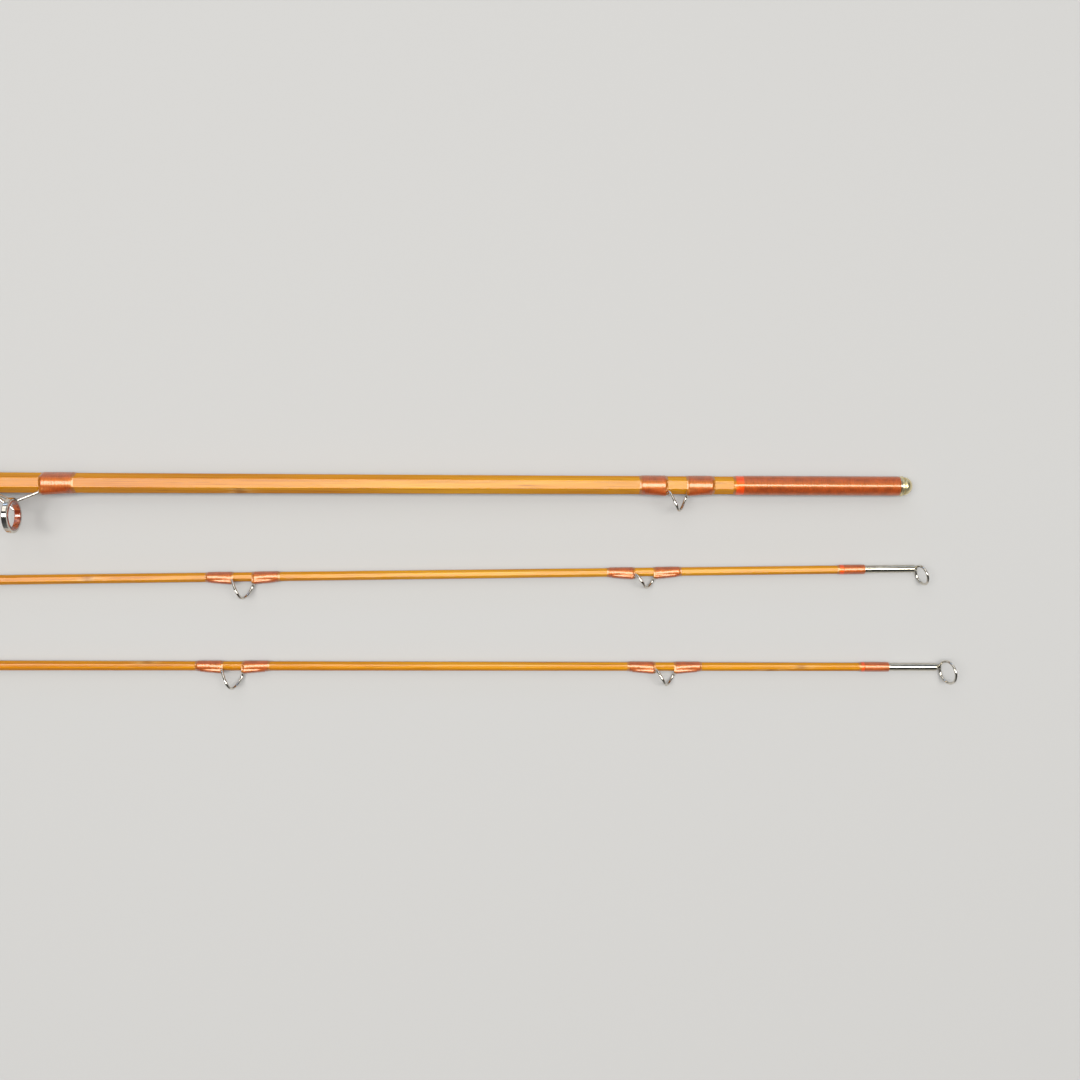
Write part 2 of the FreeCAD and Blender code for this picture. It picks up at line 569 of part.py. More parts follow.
def tip_nodes(name):
    taper = TIP_TAPER
    top_start = SECTION - TOP_TUBE[name]
    wrap_end = top_start - WRAP_GAP
    wrap_start = wrap_end - TOP_WRAP[name]
    trim_end = wrap_start - WRAP_GAP
    ferrule_wrap = MALE_LENGTH + WRAP_GAP
    ferrule_trim = ferrule_wrap + MALE_WRAP + WRAP_GAP
    nodes = {
        f"{name}_cane_strips": cane_strips(taper, top_start, TOP_TUBE_BORE_R - GLUE,
                                           (MALE_LENGTH, CANE_SLIDE_R)),
        f"{name}_male_ferrule": male_ferrule(),
        f"{name}_ferrule_wrap": wrap(taper, ferrule_wrap, ferrule_wrap + MALE_WRAP),
        f"{name}_ferrule_trim_wrap": wrap(taper, ferrule_trim, ferrule_trim + MALE_TRIM),
        f"{name}_tip_top_tube": top_tube(name),
        f"{name}_tip_top_ring": top_ring(name),
        f"{name}_tip_top_wrap": wrap(taper, wrap_start, wrap_end),
        f"{name}_tip_top_trim_wrap": wrap(taper, trim_end - TOP_TRIM[name], trim_end),
    }
    wraps = []
    for number, (behind, rise) in enumerate(TIP_GUIDES[name], 1):
        guide_x = SECTION - behind
        nodes[f"{name}_snake_guide_{number}"] = on_flat(snake_guide(rise), taper, guide_x)
        wraps += snake_wraps(taper, guide_x)
    nodes[f"{name}_snake_guide_wraps"] = Part.makeCompound(wraps)
    for node in (f"{name}_tip_top_ring", f"{name}_tip_top_tube"):
        nodes[node].rotate(V(0, 0, 0), X_AXIS, TOP_ROLL[name])
    return nodes


# ---- laying the sections down -----------------------------------------------------------------
def lowest(shape):
    return shape.optimalBoundingBox(False, False).ZMin


def placed(shape, placement):
    """A copy of the shape, moved from its section's own frame by the placement."""
    copy = shape.copy()
    copy.Placement = placement.multiply(shape.Placement)
    return copy


def lay_down(nodes, yaw, rear_rest, front_rest, place):
    """Placement that rests a section on two of its nodes, with its far end above place.

    The pitch that brings both of them down to the table is found by a few corrections."""
    reach = nodes[front_rest].BoundBox.Center.x - nodes[rear_rest].BoundBox.Center.x
    pitch = 0.0
    for _ in range(4):
        tilt = FreeCAD.Placement(V(0, 0, 0), FreeCAD.Rotation(Y_AXIS, pitch))
        heights = [lowest(placed(nodes[name], tilt)) for name in (rear_rest, front_rest)]
        pitch += math.degrees(math.atan2(heights[1] - heights[0], reach))
    turn = FreeCAD.Rotation(Z_AXIS, yaw).multiply(FreeCAD.Rotation(Y_AXIS, pitch))
    end = turn.multVec(V(SECTION, 0, 0))
    return FreeCAD.Placement(V(place[0] - end.x, place[1] - end.y, -min(heights)), turn)


def sections():
    """Every section's nodes, still along +X, with the placement that lays it on the table."""
    butt, tip_1, tip_2 = butt_nodes(), tip_nodes("tip_1"), tip_nodes("tip_2")
    laid = {
        "butt": (butt, lay_down(butt, YAW["butt"], "grip_cork_rings", "ferrule_plug",
                                (-BUTT_BEHIND, BUTT_ASIDE))),
        "tip_1": (tip_1, lay_down(tip_1, YAW["tip_1"], "tip_1_male_ferrule", "tip_1_tip_top_ring",
                                  (-TIP_1_BEHIND, TIP_1_ASIDE))),
        "tip_2": (tip_2, lay_down(tip_2, YAW["tip_2"], "tip_2_male_ferrule", "tip_2_tip_top_wrap",
                                  (0.0, 0.0))),
    }
    box = FreeCAD.BoundBox()
    for nodes, placement in laid.values():
        for shape in nodes.values():
            box.add(placed(shape, placement).optimalBoundingBox(False, False))
    centre = V(-box.Center.x, -box.Center.y, -box.ZMin)
    return {name: (nodes, FreeCAD.Placement(placement.Base + centre, placement.Rotation))
            for name, (nodes, placement) in laid.items()}


def build():
    os.makedirs("parts", exist_ok=True)
    for nodes, placement in sections().values():
        for name, shape in nodes.items():
            placed(shape, placement).exportStep(f"parts/{name}.step")


if __name__ == "__main__":
    build()
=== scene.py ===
"""Looks of a taken-down split-cane fly rod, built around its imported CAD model.

Metres, +Z up, +X along the rod towards the tip-tops. Each section's pieces are made in the
section's own frame: +X along it from its thick end, +Y level, and angles round it counted from +Y
towards +Z.
"""

import json
import math

import bpy
import numpy as np
from mathutils import Matrix, Vector


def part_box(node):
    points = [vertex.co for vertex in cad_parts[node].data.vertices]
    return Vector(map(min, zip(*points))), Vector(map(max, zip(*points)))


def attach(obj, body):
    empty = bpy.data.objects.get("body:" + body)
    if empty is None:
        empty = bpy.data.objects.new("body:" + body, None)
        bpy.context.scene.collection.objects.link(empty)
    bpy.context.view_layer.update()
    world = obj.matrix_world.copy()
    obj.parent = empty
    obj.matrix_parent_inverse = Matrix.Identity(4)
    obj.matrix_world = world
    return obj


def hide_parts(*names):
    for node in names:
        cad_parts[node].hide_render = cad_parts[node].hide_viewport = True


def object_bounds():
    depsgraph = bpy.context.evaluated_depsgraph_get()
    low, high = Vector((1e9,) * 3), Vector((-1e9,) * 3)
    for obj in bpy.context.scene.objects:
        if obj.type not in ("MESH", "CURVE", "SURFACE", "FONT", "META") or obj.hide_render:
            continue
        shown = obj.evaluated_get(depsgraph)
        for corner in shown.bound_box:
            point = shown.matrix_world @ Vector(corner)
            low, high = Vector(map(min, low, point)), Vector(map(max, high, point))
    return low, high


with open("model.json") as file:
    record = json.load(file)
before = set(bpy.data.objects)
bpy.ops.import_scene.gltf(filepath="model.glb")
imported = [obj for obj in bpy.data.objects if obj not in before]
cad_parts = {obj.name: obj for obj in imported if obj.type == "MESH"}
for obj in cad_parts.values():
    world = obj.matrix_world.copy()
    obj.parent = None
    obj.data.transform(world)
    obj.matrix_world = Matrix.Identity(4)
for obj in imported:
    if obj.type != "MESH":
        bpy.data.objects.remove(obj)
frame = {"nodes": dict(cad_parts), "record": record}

CAD_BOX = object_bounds()
MM = 0.001
ROUND = 2 * math.pi
HEX = ROUND / 6
SLIDE_HALF = 13 * MM  # a male slide's mount is at its middle
GUIDE_SIDE = math.radians(150)  # the way the flat with the guides faces

# ---- cane -------------------------------------------------------------------------------------
CANE_STEP = 1.0 * MM
CANE_WAVE = 40 * MM  # length of its unevenness
CANE_UNEVEN = 0.012 * MM
CORNER_RADIUS = 0.3 * MM
EDGE_BENDS = (-30, -18, -6, 0, 6, 18, 30)  # degrees round a softened edge, the glue line at 0
EDGE_GLUE = {-6: 0.35, 0: 1.0, 6: 0.35}  # how strongly the glue line shows at a bend
GLUE_SINK = 0.03 * MM
FLAT_PLACES = (-0.36, 0.0, 0.36)  # across a flat, 1 at its corner
CULM_NODE = 340 * MM  # usual distance between the nodes of the culm
NODE_SPREAD = (0.85, 1.15)  # least and most, as shares of it
NODE_START = 0.5  # most that the first node is along, as a share of it
NODE_SWELL = 0.035 * MM
NODE_WIDTH = 2.2 * MM
NODE_MARK_WIDTH = 4.5 * MM
BUTT_LAP = 2 * MM  # how far the cane runs in under the winding check
TIP_LAP = 1 * MM  # and into a male ferrule

# ---- wraps ------------------------------------------------------------------------------------
THREAD = 0.16 * MM  # thickness of a varnished wrap
THREAD_PITCH = 0.3 * MM
THREAD_RIDGE = 0.018 * MM
THREAD_CROWN = 0.07  # how far varnish rounds out a flat, as a share of its distance from the axis
STEPS_PER_TURN = 5
WRAP_POINTS = 72  # round a wrap
LONG_WRAP_POINTS = 96
STRETCHES = np.linspace(0, ROUND, 180, endpoint=False)  # ways that a stretched skin is held
STRETCH_REACH = 0.2  # least cosine between such a way and a point that it holds
UNHELD = 1e-6  # stands for the cosines below that
VARNISH_LEAD = 0.8 * MM  # how far the varnish runs out over the cane
VARNISH_STEPS = 8
VARNISH_START = 0.75  # its thickness by the thread and at its edge, as shares of a wrap's
VARNISH_EDGE = 0.05
VARNISH_WAVE = 1.3 * MM
VARNISH_UNEVEN = 0.022 * MM
LEAD_UNEVEN = 0.25  # unevenness of the run-out, as a share of the wrap's
FULL = 1  # lengths of the run-out at a wrap's end, as shares of VARNISH_LEAD
SHORT = 0.2
BARE = 0.05  # where the end meets metal or another wrap
# Feet under the wraps: length, (width, height) at the leg, (width, height) at the toe, how far the
# wrap goes on past the toe, and how much of the foot shows at the leg.
SNAKE_FOOT = (6.7 * MM, (0.86 * MM, 0.88 * MM), (1.0 * MM, 0.2 * MM), 0.8 * MM, 0.05 * MM)
STRIPPER_FOOT = (9 * MM, (1.2 * MM, 1.04 * MM), (1.35 * MM, 0.25 * MM), 1.4 * MM, 1.0 * MM)
KEEPER_FOOT = (5 * MM, (0.82 * MM, 0.84 * MM), (0.9 * MM, 0.2 * MM), 0.9 * MM, 0.1 * MM)
FOOT_GAP = 0.03 * MM
FOOT_START = -0.15  # where a foot begins to lift the thread, as a share of its length from the leg
SNAKE_GUIDES = 6  # on a tip section
TRIM_SEAT = 0.9  # size of the cane under the trim, as a share of the ferrule's

# ---- cork -------------------------------------------------------------------------------------
CORK_RINGS = 13
CORK_RING = 12.7 * MM
CORK_STEP = 0.4 * MM
CORK_POINTS = 200  # round the grip
CORK_INSIDE = 6.5 * MM  # everything nearer the axis is the bore
CORK_ROUNDING = 0.5 * MM
CORK_WAVE = 9 * MM
CORK_UNEVEN = 0.05 * MM
CORK_TONE = 0.5  # of the faces inside
SEAM_WIDTH = 0.35 * MM
SEAM_DEPTH = 0.07 * MM
CORK_PITS = 520
PIT_SMALLEST = 0.22 * MM
PIT_GROWTH = 0.9 * MM
PIT_RARITY = 4  # power that makes large pits rare
PIT_STRETCH = (1.2, 4.0)  # round the grip
PIT_REACH = 3  # where a pit has faded out, in its own sizes
PIT_SHARPNESS = 2.2
PIT_DEPTH = 0.22 * MM

RIPPLE_LAYERS = 6
RIPPLE_LENGTHS = (0.5, 1.6)  # least and most of a layer's frequency, as shares of the usual

random = np.random.default_rng(7)


# ---- the sections' own frames -----------------------------------------------------------------
def mount(name):
    return next(m for m in frame["record"]["mounts"] if m["name"] == name)


class Section:
    """A section's body, its frame, and its cane's taper as the CAD model has it."""

    def __init__(self, body, cane, mount_name, behind):
        """The mount's axis points out of the thick end, which lies behind metres along it."""
        place = mount(mount_name)
        out = Vector(place["axis"]).normalized()
        along = -out
        level = Vector((0, 0, 1)).cross(along).normalized()
        self.body = body
        self.matrix = Matrix((along, level, along.cross(level))).transposed().to_4x4()
        self.matrix.translation = Vector(place["pos_m"]) + out * behind
        self.inverse = np.array(self.matrix.inverted())
        points = self.local(cane)
        faces = (np.arange(6) + 0.5) * HEX
        reach = (points[:, 1:] @ np.array([np.cos(faces), np.sin(faces)])).max(axis=1)
        self.stations, self.apothems = furthest(points, reach)

    def local(self, node):
        """A CAD node's vertices in the section's frame."""
        mesh = frame["nodes"][node].data
        flat = np.empty(len(mesh.vertices) * 3)
        mesh.vertices.foreach_get("co", flat)
        return flat.reshape(-1, 3) @ self.inverse[:3, :3].T + self.inverse[:3, 3]

    def span(self, node):
        """Where a CAD node starts and ends along the section."""
        along = self.local(node)[:, 0]
        return along.min(), along.max()

    def apothem(self, x):
        return np.interp(x, self.stations, self.apothems)


def furthest(points, reach, least=0.0):
    """Stations along some points, and the longest reach at each, of those over the least."""
    along = np.round(points[:, 0], 5)
    stations = np.unique(along[reach > least])
    return stations, np.array([reach[along == x].max() for x in stations])


def outline(section, node, least=0.0):
    """Stations along a turned CAD node, and its radius at each."""
    points = section.local(node)
    return furthest(points, np.hypot(points[:, 1], points[:, 2]), least)


def radius_of(section, node):
    return outline(section, node)[1].max()


BUTT = Section("butt_section", "butt_cane_strips", "butt_cap_face", 0.0)
TIPS = {
    name: Section(body, f"{name}_cane_strips", f"{name}_male_ferrule", SLIDE_HALF)
    for name, body in (("tip_1", "tip_section_1"), ("tip_2", "tip_section_2"))
}


# ---- meshes -----------------------------------------------------------------------------------
def skin(name, sleeves, loop=False):
    """An object of closed sleeves, each one rings of points with named numbers for every point.

    A sleeve is capped at both ends, or joined end to end for a loop.
    """
    points, faces, numbers = [], [], {}
    first = 0
    for rings, values in sleeves:
        count, around = rings.shape[:2]
        rows = np.arange(count if loop else count - 1)[:, None]
        columns = np.arange(around)[None, :]
        beside = (columns + 1) % around
        ahead = (rows + 1) % count
        quads = np.stack([rows * around + columns, rows * around + beside,
                          ahead * around + beside, ahead * around + columns], axis=-1)
        faces += (quads.reshape(-1, 4) + first).tolist()
        if not loop:
            faces.append(list(range(first, first + around))[::-1])
            last = first + (count - 1) * around
            faces.append(list(range(last, last + around)))
        points.append(rings.reshape(-1, 3))
        for key, value in values.items():
            numbers.setdefault(key, []).append(np.asarray(value, np.float32).ravel())
        first += count * around
    mesh = bpy.data.meshes.new(name)
    mesh.from_pydata(np.concatenate(points).tolist(), [], faces)
    mesh.polygons.foreach_set("use_smooth", [True] * len(faces))
    for key, value in numbers.items():
        layer = mesh.attributes.new(key, "FLOAT", "POINT")
        layer.data.foreach_set("value", np.concatenate(value))
    mesh.update()
    return bpy.data.objects.new(name, mesh)


def put(piece, section, material, node):
    """Lays a piece in its section, and hides the CAD node that it stands for."""
    bpy.context.scene.collection.objects.link(piece)
    piece.data.materials.append(material)
    piece.matrix_world = section.matrix
    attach(piece, section.body)
    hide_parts(node)


def polar(x, radius, angle):
    """Rings of points from stations, radii (stations by angles) and angles."""
    x = np.broadcast_to(x[:, None], radius.shape)
    return np.stack([x, radius * np.cos(angle), radius * np.sin(angle)], axis=-1)


def ripple(x, angle, wave, turns):
    """Smooth unevenness over a skin, about -1 to 1, repeating round it."""
    total = np.zeros((len(x), len(angle)))
    for _ in range(RIPPLE_LAYERS):
        lengthwise = random.uniform(*RIPPLE_LENGTHS) * ROUND / wave
        round_it = random.integers(-turns, turns + 1)
        phase = random.uniform(0, ROUND)
        total += np.sin(x[:, None] * lengthwise + angle[None, :] * round_it + phase)
    return total / RIPPLE_LAYERS


# ---- cane -------------------------------------------------------------------------------------
def culm_nodes(x, start, end):
    """How far each strip swells at each station, and how near a node it is there, 0 to 1."""
    swell = np.zeros((len(x), 6))
    near = np.zeros((len(x), 6))
    for strip in range(6):
        place = start + random.uniform(0, NODE_START) * CULM_NODE + (strip % 3) * CULM_NODE / 3
        while place < end:
            swell[:, strip] += NODE_SWELL * np.exp(-((x - place) / NODE_WIDTH) ** 2)
            near[:, strip] += np.exp(-((x - place) / NODE_MARK_WIDTH) ** 2)
            place += CULM_NODE * random.uniform(*NODE_SPREAD)
    return swell, near


def cane(name, section, start, end, node):
    """Hexagonal blank of six glued strips with softened edges and the swellings of the culm."""
    x = np.linspace(start, end, round((end - start) / CANE_STEP) + 1)
    swell, near = culm_nodes(x, start, end)
    wave = ripple(x, np.arange(6) * HEX, CANE_WAVE, 3) * CANE_UNEVEN
    apothems = section.apothem(x)[:, None] + swell + wave
    y, z, strips, glue = [], [], [], []
    for corner in range(6):
        out = corner * HEX
        for bend in EDGE_BENDS:
            strip = corner if bend >= 0 else (corner - 1) % 6
            core = (apothems[:, strip] - CORNER_RADIUS) / math.cos(HEX / 2)
            radius = CORNER_RADIUS - (GLUE_SINK if bend == 0 else 0)
            lean = out + math.radians(bend)
            y.append(core * math.cos(out) + radius * math.cos(lean))
            z.append(core * math.sin(out) + radius * math.sin(lean))
            strips.append(strip)
            glue.append(EDGE_GLUE.get(bend, 0.0))
        facing = out + HEX / 2
        apothem = apothems[:, corner]
        for place in FLAT_PLACES:
            side = place * apothem * math.tan(HEX / 2)
            y.append(apothem * math.cos(facing) - side * math.sin(facing))
            z.append(apothem * math.sin(facing) + side * math.cos(facing))
            strips.append(corner)
            glue.append(0.0)
    y, z = np.stack(y, axis=1), np.stack(z, axis=1)
    rings = np.stack([np.broadcast_to(x[:, None], y.shape), y, z], axis=-1)
    tone = random.uniform(0, 1, 6)
    values = {
        "strip": np.broadcast_to(tone[strips], y.shape),
        "glue": np.broadcast_to(np.array(glue), y.shape),
        "culm": near[:, strips],
    }
    put(skin(name, [(rings, values)]), section, CANE, node)


# ---- wraps ------------------------------------------------------------------------------------
def taut(section, x, angle, thickness, feet=(), under=None):
    """Radii of something stretched round the cane, a guide's feet and a round part under it."""
    corners = np.arange(6) * HEX
    reach = section.apothem(x) / math.cos(HEX / 2)
    support = (reach[:, None, None] * np.cos(STRETCHES[:, None] - corners)).max(axis=2)
    side = np.array([math.cos(GUIDE_SIDE), math.sin(GUIDE_SIDE)])
    across = np.array([-side[1], side[0]])
    facing = np.stack([np.cos(STRETCHES), np.sin(STRETCHES)], axis=1)
    for leg, length, at_leg, at_toe in feet:
        share = (x - leg) / length
        inside = (share > FOOT_START) & (share < 1)
        share = np.clip(share, 0, 1)
        width = at_leg[0] + (at_toe[0] - at_leg[0]) * share
        height = at_leg[1] + (at_toe[1] - at_leg[1]) * share + FOOT_GAP
        out = section.apothem(x) + height
        for sign in (-1, 1):
            edge = out[:, None] * (facing @ side) + sign * width[:, None] / 2 * (facing @ across)
            support = np.where(inside[:, None], np.maximum(support, edge), support)
    if under is not None:
        support = np.maximum(support, under[:, None])
    support = support + thickness[:, None]
    lean = np.cos(angle[:, None] - STRETCHES)
    lean = np.where(lean > STRETCH_REACH, lean, UNHELD)
    return (support[:, None, :] / lean[None]).min(axis=2)


def wrap(section, start, end, feet=(), round_part=None, around=WRAP_POINTS, leads=(FULL, FULL)):
    """Thread wound on side by side, and the varnish that runs out from it over the cane.

    round_part gives the radii of something round under the wrap, from the stations.
    """
    wound = np.arange(start, end, THREAD_PITCH / STEPS_PER_TURN)
    lead = np.linspace(1, 0, VARNISH_STEPS + 1)[:-1]
    before = start - VARNISH_LEAD * lead * leads[0]
    after = end + VARNISH_LEAD * lead[::-1] * leads[1]
    x = np.concatenate([before, wound, after])
    outside = np.clip(np.maximum(start - x, x - end) / VARNISH_LEAD, 0, 1)
    cover = np.where(outside > 0, 0.0, 1.0)
    runout = VARNISH_START * (1 - outside) ** 2 + VARNISH_EDGE
    thickness = THREAD * np.where(outside > 0, runout, 1.0)
    angle = np.linspace(0, ROUND, around, endpoint=False)
    under = round_part(x) if round_part else None
    radius = taut(section, x, angle, thickness, feet, under)
    crest = np.abs(np.sin(math.pi * (x[:, None] / THREAD_PITCH + angle[None, :] / ROUND)))
    ease = np.clip((x - start) / THREAD_PITCH, 0, 1) * np.clip((end - x) / THREAD_PITCH, 0, 1)
    radius = radius + THREAD_RIDGE * ease[:, None] * crest
    if under is None:
        across = np.tan(angle % HEX - HEX / 2) / math.tan(HEX / 2)
        crown = THREAD_CROWN * (1 - across ** 2) * np.clip(1 - outside, 0, 1)[:, None]
        radius = radius + section.apothem(x)[:, None] * crown
    uneven = VARNISH_UNEVEN * (LEAD_UNEVEN + (1 - LEAD_UNEVEN) * cover)
    radius = radius + ripple(x, angle, VARNISH_WAVE, 3) * uneven[:, None]
    values = {"thread": np.broadcast_to(cover[:, None], radius.shape), "crest": crest}
    return polar(x, radius, angle), values


def guide_wraps(section, node, foot):
    """The two wraps of a guide, one over each foot."""
    length, at_leg, at_toe, past, shown = foot
    wraps = []
    for toe, side in zip(section.span(node), (-1, 1)):
        leg = toe - side * length
        start, end = sorted((leg + side * shown, toe + side * past))
        wraps.append(wrap(section, start, end, [(leg, side * length, at_leg, at_toe)]))
    return wraps


# ---- cork -------------------------------------------------------------------------------------
def cork_pits(x, radius, angle):
    """How deep the cork is pitted over its skin, 0 to 1."""
    pits = np.zeros((len(x), len(angle)))
    for _ in range(CORK_PITS):
        place, turn = random.uniform(x[0], x[-1]), random.uniform(0, ROUND)
        size = random.uniform(0, 1) ** PIT_RARITY * PIT_GROWTH + PIT_SMALLEST
        stretch = random.uniform(*PIT_STRETCH)
        rows = np.abs(x - place) < size * PIT_REACH
        across = (angle - turn + math.pi) % ROUND - math.pi
        across = across * np.interp(place, x, radius)
        distance = ((x[rows, None] - place) / size) ** 2 + (across / (size * stretch)) ** 2
        pits[rows] = np.maximum(pits[rows], np.exp(-distance * PIT_SHARPNESS))
    return pits


def cork_seams(x):
    """How near a glue joint between two cork rings each station is, 0 to 1."""
    joint = np.abs((x - x[0] + CORK_RING / 2) % CORK_RING - CORK_RING / 2)
    at_ends = (x - x[0] < CORK_RING / 2) | (x[-1] - x < CORK_RING / 2)
    joint[at_ends] = CORK_RING
    return np.exp(-(joint / SEAM_WIDTH) ** 2)


def cork_grip():
    """Cork rings turned to shape together, with the pits and joints of real cork."""
    node = "grip_cork_rings"
    points = BUTT.local(node)
    stations, radii = outline(BUTT, node, CORK_INSIDE)
    start, end = stations[0], stations[-1]
    x = np.append(np.arange(start, end, CORK_STEP), end)
    radius = np.interp(x, stations, radii)
    from_end = np.minimum(x - start, end - x)
    radius = radius - CORK_ROUNDING * (1 - np.clip(from_end / CORK_ROUNDING, 0, 1)) ** 2
    angle = np.linspace(0, ROUND, CORK_POINTS, endpoint=False)
    surface = radius[:, None] + ripple(x, angle, CORK_WAVE, 6) * CORK_UNEVEN
    seams = cork_seams(x)
    pits = cork_pits(x, radius, angle)
    surface -= SEAM_DEPTH * seams[:, None] + PIT_DEPTH * pits
    ring_tone = random.uniform(0, 1, CORK_RINGS + 1)
    number = np.clip(((x - start) / CORK_RING).astype(int), 0, CORK_RINGS - 1)

    # the grip's inside: its bore, and the recess that takes the front hood
    bore = np.hypot(points[:, 1], points[:, 2]).min()
    hood_end = BUTT.span("seat_front_hood")[1]
    hood = radius_of(BUTT, "seat_front_hood")
    flat = np.ones((1, CORK_POINTS))
    inside = polar(np.array([hood_end, hood_end, start]),
                   np.concatenate([flat * bore, flat * hood, flat * hood]), angle)
    mouth = polar(np.array([end]), flat * bore, angle)
    rings = np.concatenate([inside, polar(x, surface, angle), mouth])

    tone = np.concatenate([[CORK_TONE] * 3, ring_tone[number], [CORK_TONE]])
    seams = np.concatenate([[0] * 3, seams, [0]])
    values = {
        "pit": np.concatenate([flat * 0] * 3 + [pits, flat * 0]),
        "seam": np.broadcast_to(seams[:, None], rings.shape[:2]),
        "ring": np.broadcast_to(tone[:, None], rings.shape[:2]),
    }
    put(skin("grip_cork", [(rings, values)], loop=True), BUTT, CORK, node)


# ---- materials --------------------------------------------------------------------------------
class Finish:
    """A material under construction."""

    def __init__(self, name, **settings):
        self.material = bpy.data.materials.new(name)
        self.material.use_nodes = True
        self.tree = self.material.node_tree
        self.shader = self.tree.nodes["Principled BSDF"]
        for key, value in settings.items():
            self.shader.inputs[key.replace("_", " ")].default_value = value

    def node(self, kind, settings=None, **inputs):
        """A shader node. Inputs go by name, or by number as _0, _1 and so on."""
        made = self.tree.nodes.new("ShaderNode" + kind)
        for key, value in (settings or {}).items():
            setattr(made, key, value)
        for key, value in inputs.items():
            self.feed(made, int(key[1:]) if key[0] == "_" else key.replace("_", " "), value)
        return made

    def feed(self, made, socket, value):
        """Joins another node's output to a socket, or sets the socket's own value."""
        if isinstance(value, bpy.types.NodeSocket):
            self.tree.links.new(value, made.inputs[socket])
        else:
            made.inputs[socket].default_value = value

    def noise(self, scale, detail=3.0, roughness=0.5, distortion=0.0):
        """Noise in the piece's own coordinates, with so many features a metre each way."""
        own = self.node("TexCoord").outputs["Object"]
        place = self.node("Mapping", Vector=own, Scale=scale).outputs[0]
        made = self.node("TexNoise", Vector=place, Scale=1.0, Detail=detail,
                         Roughness=roughness, Distortion=distortion)
        return made.outputs["Fac"]

    def value(self, name):
        """A number that the mesh carries."""
        return self.node("Attribute", {"attribute_name": name}).outputs["Fac"]

    def ramp(self, fac, *stops):
        made = self.node("ValToRGB", Fac=fac)
        elements = made.color_ramp.elements
        while len(elements) < len(stops):
            elements.new(0.5)
        for element, (position, colour) in zip(elements, stops):
            element.position = position
            element.color = colour
        return made.outputs["Color"]

    def math(self, operation, first, second=0.0, third=0.0):
        made = self.node("Math", {"operation": operation}, _0=first, _1=second, _2=third)
        return made.outputs[0]

    def times(self, first, second):
        return self.math("MULTIPLY", first, second)

    def mix(self, fac, first, second, blend="MIX"):
        made = self.node("Mix", {"data_type": "RGBA", "blend_type": blend},
                         _0=fac, _6=first, _7=second)
        return made.outputs[2]

    def bump(self, height, depth, strength):
        made = self.node("Bump", Strength=strength, Distance=depth, Height=height)
        self.feed(self.shader, "Normal", made.outputs[0])

    def colour(self, value):
        self.feed(self.shader, "Base Color", value)

    def rough(self, value):
        self.feed(self.shader, "Roughness", value)


def srgb(red, green, blue):
    """A colour as the eye names it, 0 to 255, in linear light."""
    shares = [c / 255 for c in (red, green, blue)]
    linear = [c / 12.92 if c <= 0.04045 else ((c + 0.055) / 1.055) ** 2.4 for c in shares]
    return (*linear, 1.0)


BLACK = (0, 0, 0, 1)
WHITE = (1, 1, 1, 1)
FIBRE = (32, 3600, 3600)  # the cane's power fibres, in features a metre
# Names and looks of the threads: lit thread, thread in shadow, sheen
THREAD_LOOKS = {
    "copper_thread": (srgb(170, 70, 22), srgb(112, 40, 13), srgb(255, 182, 108)),
    "orange_thread": (srgb(222, 66, 2), srgb(196, 44, 2), srgb(255, 176, 80)),
}
# Names and looks of the metals: clean, tarnished, how rough, how deep the lathe marks are, and
# how far it is tarnished
METAL_LOOKS = {
    "guide_wire": (srgb(232, 227, 216), srgb(150, 146, 138), 0.07, 0.0, 0.5),
    "tip_top_tube": (srgb(216, 209, 190), srgb(150, 143, 126), 0.09, 0.04, 0.5),
    "nickel_silver": (srgb(214, 208, 196), srgb(150, 140, 122), 0.13, 0.25, 0.5),
    "plug_brass": (srgb(246, 234, 190), srgb(200, 176, 118), 0.24, 0.2, 0.5),
    "water_plug": (srgb(190, 160, 96), srgb(110, 84, 44), 0.3, 0.0, 0.8),
}


def cane_finish():
    """Honey-coloured cane: strips that differ a little, fine power fibres, culm nodes, varnish."""
    f = Finish("cane", Roughness=0.45, Specular_IOR_Level=0.0,
               Coat_Weight=0.4, Coat_Roughness=0.07, Coat_IOR=1.5)
    broad = f.noise((9, 260, 260), detail=3)
    fibre = f.noise(FIBRE, detail=3, roughness=0.65)
    dash = f.noise((70, 5200, 5200), detail=1)
    tone = f.ramp(broad, (0.3, srgb(176, 108, 3)), (0.52, srgb(189, 129, 9)),
                  (0.72, srgb(202, 149, 25)))
    tone = f.mix(f.times(f.value("strip"), 0.4), tone, srgb(174, 104, 3))
    streak = f.ramp(fibre, (0.34, srgb(168, 96, 22)), (0.52, WHITE))
    tone = f.mix(0.42, tone, streak, "MULTIPLY")
    marks = f.ramp(dash, (0.27, WHITE), (0.33, BLACK))
    tone = f.mix(f.times(marks, 0.55), tone, srgb(100, 48, 8))
    pale = f.math("GREATER_THAN", f.noise((160, 2600, 2600), detail=2), 0.5)
    tone = f.mix(f.times(f.times(f.value("culm"), pale), 0.55), tone, srgb(206, 164, 98))
    dark = f.times(f.math("POWER", f.value("culm"), 6.0), 0.5)
    tone = f.mix(dark, tone, srgb(100, 52, 12))
    f.colour(f.mix(f.times(f.value("glue"), 0.6), tone, srgb(86, 42, 7)))
    f.bump(f.math("ADD", fibre, broad), 0.02 * MM, 0.5)
    return f.material


